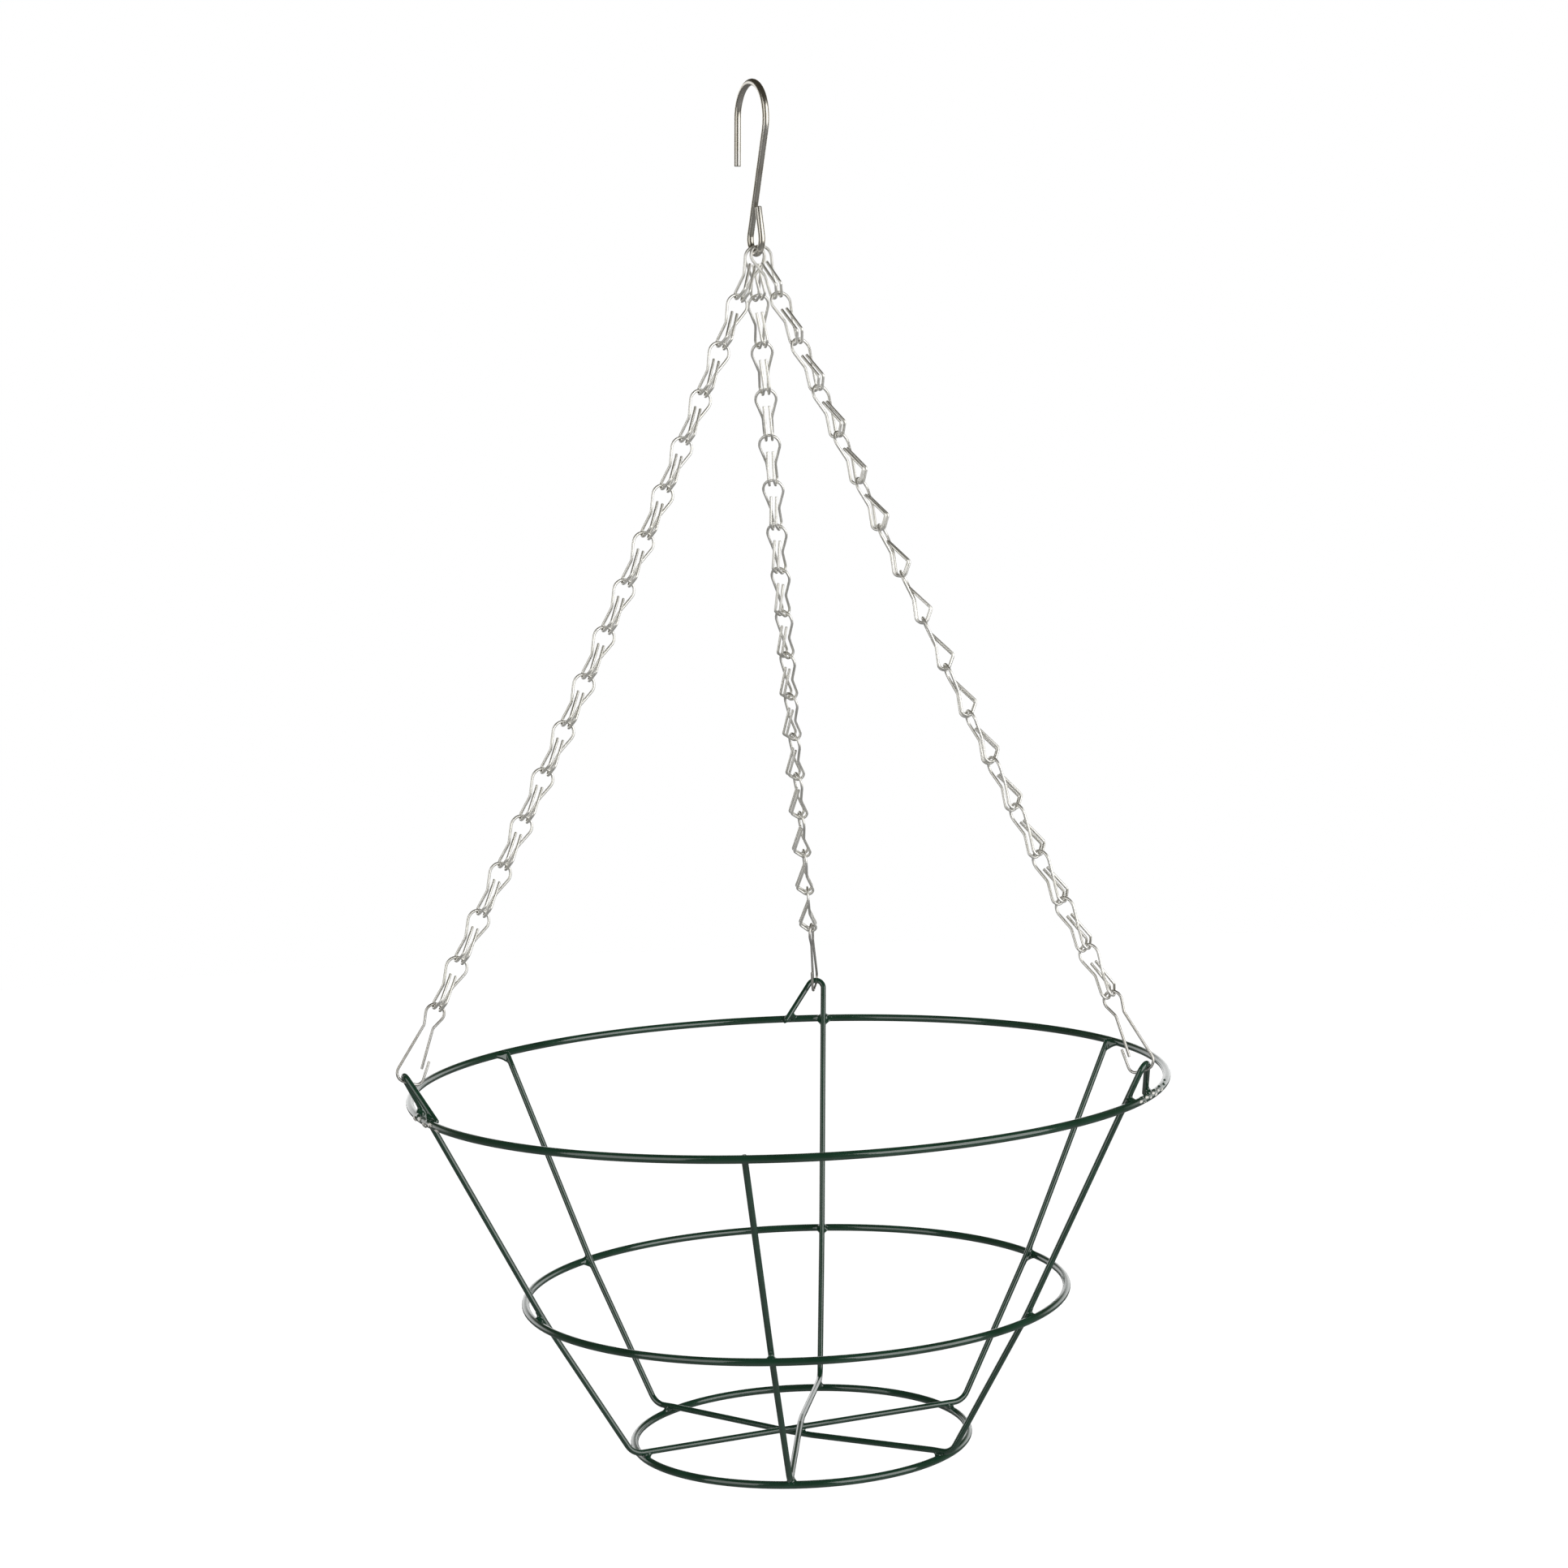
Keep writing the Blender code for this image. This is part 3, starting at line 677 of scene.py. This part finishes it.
def web_model(name, beside, between, past, narrow):
    """A star plate with four tips, bent to a saddle, its far and narrow sides drawn in."""
    deselect_all()
    bpy.ops.mesh.primitive_circle_add(
        vertices=4 * TIP_CORNERS, fill_type="NGON", location=PLATE_BOTTOM)
    star = named(name)

    # Of each tip's corners, 0 is the tip, 1 and 3 lie beside tips and 2 lies between two tips
    draw_in(star, (
        (lambda v: v.index % TIP_CORNERS in (1, 3), (beside, beside, 1.0)),
        (lambda v: v.index % TIP_CORNERS == 2, (between, between, 1.0)),
        (lambda v: v.index % 2 and abs(v.co.y) > abs(v.co.x), (WEB_WAIST, 1.0, 1.0))))

    # The tips along the hoop rise to its middle line, and those along the rib sink to the rib's
    for ahead, rise in ((0, WEB_SADDLE), (1, -WEB_SADDLE)):
        pick_corners(star, lambda v: (
            v.index % TIP_CORNERS != 2 and abs(v.co[ahead]) > abs(v.co[1 - ahead])))
        bpy.ops.transform.translate(value=(0.0, 0.0, rise))
    draw_in(star, (
        (lambda v: v.co.y > 0.0, (1.0, past, 1.0)),
        (lambda v: v.co.x < 0.0, (narrow, 1.0, 1.0))))
    bpy.ops.mesh.select_all(action="SELECT")
    bpy.ops.mesh.extrude_region_move(TRANSFORM_OT_translate={"value": PLATE_RISE})
    close_up(star)
    return star


def stub(name, place, direction, thickness, back, ahead):
    """A short length of wire through a weld, for the web to grow from."""
    deselect_all()
    bpy.ops.mesh.primitive_cylinder_add(
        vertices=STUB_SIDES, radius=STUB_SLIMNESS * thickness / 2, depth=back + ahead,
        location=place + direction * ((ahead - back) / 2),
        rotation=direction.to_track_quat("Z", "Y").to_euler())
    return named(name)


def weld_webs(name, star, welds):
    """The coat that has run together at a row of welds."""
    parts = []
    for one, other, reach, wide, ahead in welds:
        parts.append(stub(name + "_hoop", *one, reach, reach))
        parts.append(stub(name + "_rib", *other, reach, ahead))
        across = (one[0] - other[0]).normalized() * WEB_THICKNESS / 2
        middle = (one[0] + other[0]) / 2
        fit = Matrix((one[1] * wide * reach, other[1] * reach, across)).transposed().to_4x4()
        parts.append(copy_of(star, name + "_star", Matrix.Translation(middle) @ fit))
    webs = joined(parts, name)
    bpy.ops.object.modifier_add(type="REMESH")
    webs.modifiers["Remesh"].mode = "VOXEL"
    webs.modifiers["Remesh"].voxel_size = WEB_GRAIN
    bpy.ops.object.modifier_apply(modifier="Remesh")
    bpy.ops.object.modifier_add(type="SMOOTH")
    webs.modifiers["Smooth"].iterations = WEB_SMOOTHING
    bpy.ops.object.modifier_apply(modifier="Smooth")
    bpy.ops.object.shade_smooth()
    return webs


def make_webs(bowl, coat):
    """Webs of coat at every weld of the bowl."""
    cross = web_model("cross_web_model", *CROSS_WEB)
    end = web_model("end_web_model", *END_WEB)
    flared = web_model("flared_web_model", *FLARED_WEB)
    rows = (
        ("rim_crossing_webs", cross, bowl.rim_crossings()),
        ("flared_end_webs", flared, bowl.flared_ends()),
        ("even_end_webs", end, bowl.even_ends()),
        ("middle_webs", cross, bowl.middle_crossings()),
        ("base_webs", end, bowl.base_bends()),
        ("spoke_webs", cross, bowl.spoke_crossings()))
    for name, star, welds in rows:
        dress(weld_webs(name, star, welds), coat, "basket", "green_coat")
    for model in (cross, end, flared):
        bpy.data.objects.remove(model)


def burr_model():
    """One small lump, one unit in size."""
    deselect_all()
    bpy.ops.mesh.primitive_ico_sphere_add(subdivisions=BURR_DIVISIONS, radius=1.0)
    lump = named("burr_model")
    bpy.ops.object.mode_set(mode="EDIT")
    bpy.ops.mesh.select_all(action="SELECT")
    bpy.ops.transform.vertex_random(offset=BURR_STRAY, uniform=BURR_EVENNESS, seed=BURR_SEED)
    bpy.ops.mesh.vertices_smooth(factor=BURR_SMOOTHING, repeat=1)
    close_up(lump)
    return lump


def rim_burr(bowl, azimuth, around, size):
    """Placing of a burr that is half sunk in the rim and drawn out along it."""
    along = along_hoop(azimuth)
    turn = math.radians(around)
    out = polar(math.cos(turn), azimuth, math.sin(turn))
    place = polar(bowl.rim_radius, azimuth, bowl.rim_height) + out * (RIM_WIRE / 2)
    fit = Matrix((along * BURR_STRETCH, out.cross(along), out * BURR_RISE)).transposed() * size
    return Matrix.Translation(place) @ fit.to_4x4()


def make_burrs(bowl, coat, weld):
    """Lumps left by the welding, some bare and some under the coat."""
    model = burr_model()
    # The bare lumps wear the weld's speckle, partly painted glints and shade
    rows = ("bare_burrs", weld, WELD_BURRS), ("coated_burrs", coat, COAT_BURRS)
    for name, material, burrs in rows:
        lumps = [copy_of(model, name, rim_burr(bowl, *burr)) for burr in burrs]
        dress(joined(lumps, name), material, "basket", "green_coat")
    bpy.data.objects.remove(model)


def hang(place, up, facing):
    """Placing of a piece that hangs from its eye, turned to an azimuth."""
    bulge = polar(1.0, facing, 0.0)
    bulge = (bulge - up * bulge.dot(up)).normalized()
    turn = Matrix((bulge.cross(up), bulge, up)).transposed().to_4x4()
    return Matrix.Translation(place) @ turn


def make_bowl(bowl, coat):
    """The three hoops and the three frame wires."""
    hoops = (
        ("rim_hoop", "rim_ring", bowl.rim_radius, bowl.rim_height, RIM_WIRE, RIM_STEPS),
        ("middle_hoop", "middle_ring", bowl.middle_radius, bowl.middle_height, RING_WIRE,
         MIDDLE_STEPS),
        ("base_hoop", "base_ring", bowl.base_radius, bowl.base_height, RING_WIRE, BASE_STEPS))
    for name, node, radius, height, thickness, steps in hoops:
        dress(hoop(name, radius, height, thickness, steps), coat, "basket", "green_coat", node)
    for side in SIDES:
        route = bowl.frame_route(side)
        wire = bent_wire(side + "_rib_wire", route, FRAME_WIRE, COAT_SIDES, COAT_END_ROUND)
        dress(wire, coat, "basket", "green_coat", side + "_frame_wire")


def make_strands(glare_painted_chain_zinc, clip_zinc):
    """Every link and clip, hung where the frame's joints are."""
    joints = {joint["child"]: joint for joint in frame["joints"]}
    link = bent_wire("link_model", link_route(), CHAIN_WIRE, CHAIN_SIDES, CHAIN_END_ROUND)
    clip = bent_wire("clip_model", clip_route(), CHAIN_WIRE, CHAIN_SIDES, CHAIN_END_ROUND)
    for side in SIDES:
        clip_node = side + "_clip"
        eye = Vector(joints[clip_node]["pos_m"])
        up = Vector(joints[clip_node]["axis"])
        tangent = azimuth_of(eye - up * CLIP_REACH) + 90.0
        tangent = (tangent + 180.0) % 360.0 - 180.0
        piece = copy_of(clip, side + "_spring_clip", hang(eye, up, tangent + CLIP_TURN[side]))
        dress(piece, clip_zinc, clip_node, "bright_zinc", clip_node)

        # The links turn from the hook's plane to the rim's tangent on the way down
        for index in range(LINK_COUNT):
            node = "{}_link_{:02d}".format(side, index + 1)
            joint = joints[node]
            facing = tangent * index / LINK_COUNT
            matrix = hang(Vector(joint["pos_m"]), Vector(joint["axis"]), facing)
            piece = copy_of(link, "{}_chain_link_{:02d}".format(side, index + 1), matrix)
            dress(piece, glare_painted_chain_zinc, node, "bright_zinc", node)
    for model in (link, clip):
        bpy.data.objects.remove(model)


def make_hook(zinc):
    """The one hook that gathers the strands."""
    hook = bent_wire("hook_wire", hook_route(), HOOK_WIRE, HOOK_SIDES, HOOK_END_ROUND)
    dress(hook, zinc, "hook", "bright_zinc", "hanging_hook")


def maths(nodes, links, operation, first, second):
    """One arithmetic node; either value may be a socket or a number."""
    node = nodes.new("ShaderNodeMath")
    node.operation = operation
    for socket, value in zip(node.inputs, (first, second)):
        if isinstance(value, float):
            socket.default_value = value
        else:
            links.new(value, socket)
    return node.outputs["Value"]


def ranged(nodes, links, value, before, after, way="LINEAR"):
    """Takes a value from one range into another."""
    node = nodes.new("ShaderNodeMapRange")
    node.interpolation_type = way
    node.inputs["From Min"].default_value, node.inputs["From Max"].default_value = before
    node.inputs["To Min"].default_value, node.inputs["To Max"].default_value = after
    links.new(value, node.inputs["Value"])
    return node.outputs["Result"]


def smooth_step(nodes, links, value, start, stop):
    """Rises softly from 0 to 1 as a value goes from start to stop."""
    return ranged(nodes, links, value, (start, stop), UNIT, "SMOOTHSTEP")


def mix_colours(nodes, links, share, first, second):
    """Goes from one colour to another; each may be a socket or a colour."""
    node = nodes.new("ShaderNodeMix")
    node.data_type = "RGBA"
    links.new(share, node.inputs["Factor"])
    for index, value in zip(MIX_COLOUR_INPUTS, (first, second)):
        if isinstance(value, tuple):
            node.inputs[index].default_value = value
        else:
            links.new(value, node.inputs[index])
    return node.outputs[MIX_COLOUR_OUTPUT]


def seen_plainly(nodes, links, rays):
    """1 for rays from the camera, straight or through something clear, and 0 for others."""
    return maths(
        nodes, links, "MAXIMUM",
        rays.outputs["Is Camera Ray"], rays.outputs["Is Transmission Ray"])


def noise(nodes, links, scale, detail):
    """Soft noise that keeps its place on the piece."""
    place = nodes.new("ShaderNodeTexCoord")
    node = nodes.new("ShaderNodeTexNoise")
    node.inputs["Scale"].default_value = scale
    node.inputs["Detail"].default_value = detail
    links.new(place.outputs["Object"], node.inputs["Vector"])
    return node.outputs["Fac"]


def clouded_finish(name, clouds, stops, tones, roughness):
    """A finish that drifts between two tones and between two roughnesses."""
    material = bpy.data.materials.new(name)
    material.use_nodes = True
    nodes = material.node_tree.nodes
    links = material.node_tree.links
    shader = nodes["Principled BSDF"]
    cloud = noise(nodes, links, *clouds)
    tone = nodes.new("ShaderNodeValToRGB")
    for element, stop, colour in zip(tone.color_ramp.elements, stops, tones):
        element.position = stop
        element.color = colour
    links.new(cloud, tone.inputs["Fac"])
    links.new(tone.outputs["Color"], shader.inputs["Base Color"])
    links.new(ranged(nodes, links, cloud, UNIT, roughness), shader.inputs["Roughness"])
    return material


def add_relief(material, scale, detail, strength, depth):
    """Fine unevenness all over a finish."""
    nodes = material.node_tree.nodes
    links = material.node_tree.links
    bump = nodes.new("ShaderNodeBump")
    bump.inputs["Strength"].default_value = strength
    bump.inputs["Distance"].default_value = depth
    links.new(noise(nodes, links, scale, detail), bump.inputs["Height"])
    links.new(bump.outputs["Normal"], nodes["Principled BSDF"].inputs["Normal"])


def coat_material():
    """Dark green dipped plastic coat: glossy, slightly uneven, a little cloudy."""
    coat = clouded_finish(
        "green_dipped_coat", COAT_CLOUDS, COAT_STOPS, COAT_TONES, COAT_ROUGHNESS)
    shader = coat.node_tree.nodes["Principled BSDF"]
    shader.inputs["Specular IOR Level"].default_value = COAT_SPECULAR
    add_relief(coat, *COAT_SKIN)
    return coat


def weld_and_glint_material():
    """Bare weld metal, speckled pale cream and near black: partly its own colour and partly
    painted glints and shade.
    """
    return clouded_finish("bare_weld_and_painted_glints", WELD_CLOUDS, WELD_STOPS, WELD_AND_GLINT_TONES, WELD_ROUGHNESS)


def zinc_material(name, dull, bright, roughness):
    """Bright zinc plate between two tones, with faint tarnish and a fine grain."""
    zinc = clouded_finish(name, ZINC_CLOUDS, ZINC_STOPS, (dull, bright), roughness)
    zinc.node_tree.nodes["Principled BSDF"].inputs["Metallic"].default_value = 1.0
    add_relief(zinc, *ZINC_GRAIN)
    return zinc


def make_camera():
    """The photograph's own view of the basket."""
    camera = bpy.data.objects.new("camera", bpy.data.cameras.new("camera"))
    bpy.context.scene.collection.objects.link(camera)
    camera.location = CAMERA_PLACE
    camera.rotation_euler = [math.radians(angle) for angle in CAMERA_TURN]
    camera.data.lens = CAMERA_LENS
    camera.data.sensor_width = CAMERA_SENSOR
    bpy.context.scene.camera = camera


def floor_material():
    """Pale and plain, and white to the camera except for the basket's shadow."""
    material = bpy.data.materials.new("pale_floor")
    material.use_nodes = True
    nodes = material.node_tree.nodes
    links = material.node_tree.links
    nodes.remove(nodes["Principled BSDF"])
    pale = nodes.new("ShaderNodeBsdfDiffuse")
    pale.inputs["Color"].default_value = FLOOR_PALE

    place = nodes.new("ShaderNodeTexCoord")
    apart = nodes.new("ShaderNodeVectorMath")
    apart.operation = "DISTANCE"
    apart.inputs[1].default_value = (0.0, 0.0, FLOOR_HEIGHT)
    links.new(place.outputs["Object"], apart.inputs[0])
    bright = ranged(nodes, links, apart.outputs["Value"], FLOOR_GLOW_REACH, FLOOR_GLOW)

    rays = nodes.new("ShaderNodeLightPath")
    glossy = maths(nodes, links, "MULTIPLY", rays.outputs["Is Glossy Ray"], FLOOR_GLOSSY_SHARE)
    seen = maths(nodes, links, "MAXIMUM", seen_plainly(nodes, links, rays), glossy)
    glow = nodes.new("ShaderNodeEmission")
    links.new(maths(nodes, links, "MULTIPLY", seen, bright), glow.inputs["Strength"])
    both = nodes.new("ShaderNodeAddShader")
    links.new(pale.outputs["BSDF"], both.inputs[0])
    links.new(glow.outputs["Emission"], both.inputs[1])
    links.new(both.outputs["Shader"], nodes["Material Output"].inputs["Surface"])
    return material


def make_floor():
    """A plain pale floor far below the basket."""
    deselect_all()
    bpy.ops.mesh.primitive_circle_add(
        vertices=FLOOR_SIDES, radius=FLOOR_RADIUS, fill_type="NGON",
        location=(0.0, 0.0, FLOOR_HEIGHT))
    floor = named("floor")
    floor.data.materials.append(floor_material())


def make_world():
    """A white sheet behind the basket in a dim room, as reflections show, and even fill light."""
    world = bpy.data.worlds.new("studio")
    bpy.context.scene.world = world
    world.use_nodes = True
    nodes = world.node_tree.nodes
    links = world.node_tree.links
    rays = nodes.new("ShaderNodeLightPath")
    towards = nodes.new("ShaderNodeTexCoord").outputs["Generated"]
    parts = nodes.new("ShaderNodeSeparateXYZ")
    links.new(towards, parts.inputs["Vector"])

    facing = nodes.new("ShaderNodeVectorMath")
    facing.operation = "DOT_PRODUCT"
    facing.inputs[1].default_value = polar(1.0, BEHIND_AZIMUTH, 0.0)
    links.new(towards, facing.inputs[0])
    edge, full = (math.cos(math.radians(angle)) for angle in SHEET_SPREAD)
    sheet = smooth_step(nodes, links, facing.outputs["Value"], edge, full)
    sheet_top = smooth_step(nodes, links, parts.outputs["Z"], *SHEET_TOP)
    sheet = maths(nodes, links, "MULTIPLY", sheet, sheet_top)

    lower = smooth_step(nodes, links, parts.outputs["Z"], -ROOM_BLEND, 0.0)
    upper = smooth_step(nodes, links, parts.outputs["Z"], 0.0, ROOM_BLEND)
    room = mix_colours(nodes, links, lower, ROOM_BELOW, ROOM_LEVEL)
    room = mix_colours(nodes, links, upper, room, ROOM_ABOVE)
    shown = mix_colours(nodes, links, sheet, room, SHEET)
    shown = mix_colours(nodes, links, rays.outputs["Is Glossy Ray"], AMBIENT, shown)
    shown = mix_colours(nodes, links, seen_plainly(nodes, links, rays), shown, WHITE)
    links.new(shown, nodes["Background"].inputs["Color"])


def make_softbox(name, azimuth, elevation, width, height, radiance):
    """One large soft light, aimed at the bowl."""
    light = bpy.data.objects.new(name, bpy.data.lights.new(name, "AREA"))
    bpy.context.scene.collection.objects.link(light)
    rise = math.radians(elevation)
    towards = polar(math.cos(rise), azimuth, math.sin(rise))
    light.location = Vector(SOFTBOX_AIM) + towards * SOFTBOX_DISTANCE
    light.rotation_euler = towards.to_track_quat("Z", "Y").to_euler()
    light.data.shape = "RECTANGLE"
    light.data.size = width
    light.data.size_y = height
    light.data.energy = radiance * math.pi * width * height


def main():
    """Builds the basket, its floor, light and camera."""
    make_camera()
    coat = coat_material()
    make_hook(zinc_material("hook_zinc_plate", *HOOK_ZINC))
    # The chain's zinc is painted pale, as painted glare on its thin wire
    make_strands(
        zinc_material("chain_zinc_painted_glare", *CHAIN_ZINC_PAINTED_GLARE),
        zinc_material("clip_zinc_plate", *CLIP_ZINC))
    bowl = Bowl()
    make_bowl(bowl, coat)
    make_webs(bowl, coat)
    make_burrs(bowl, coat, weld_and_glint_material())
    make_floor()
    make_world()
    make_softbox("right_softbox", *RIGHT_SOFTBOX)
    make_softbox("left_softbox", *LEFT_SOFTBOX)
    bpy.context.scene.view_settings.view_transform = "Standard"


main()
